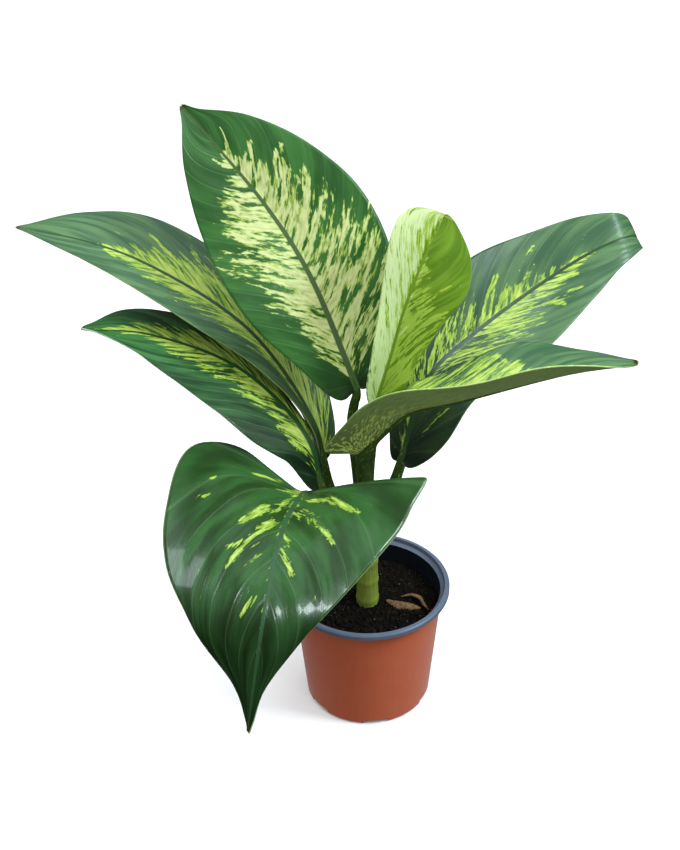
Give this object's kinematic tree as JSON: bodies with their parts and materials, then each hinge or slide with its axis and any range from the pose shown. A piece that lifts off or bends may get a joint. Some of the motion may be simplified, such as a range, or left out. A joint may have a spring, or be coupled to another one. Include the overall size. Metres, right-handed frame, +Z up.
{
  "type": "potted dieffenbachia",
  "caption": "Variegated dieffenbachia houseplant with broad pointed leaves and a rolled new leaf, growing from soil in a round tapered two-tone plastic nursery pot.",
  "frame": {"origin": "middle of the flat pad under the pot, on the surface it stands on", "axes": "+Z up along the pot's axis, +X to the right and +Y away from the viewer in the pictured view"},
  "size_m": [0.4326, 0.3447, 0.4432],
  "materials": {
    "pot_plastic": "terracotta orange outside, anthracite grey inside and on the rim, satin moulded plastic",
    "soil_peat": "dark crumbly peat with fibres",
    "cane_green": "smooth green stem with fine upright streaks",
    "bark_brown": "dry fibrous bark",
    "leaf_young": "satin lime green with pale streaks",
    "leaf_cream": "satin green with a wide feathered cream middle",
    "leaf_green": "satin dark green with yellow feathering along the midrib",
    "leaf_dark": "glossy dark green with a few yellow streaks"
  },
  "bodies": {
    "root": {"pot": "pot_plastic", "soil": "soil_peat", "cane": "cane_green", "bark_chip": "bark_brown", "bark_sliver": "bark_brown", "leaf_new_rolled": "leaf_young", "leaf_tall_left": "leaf_cream", "leaf_lower_right": "leaf_green", "leaf_upper_right": "leaf_green", "leaf_upper_left": "leaf_green", "leaf_lower_left": "leaf_green", "leaf_drooping_front": "leaf_dark"}
  },
  "joints": []
}
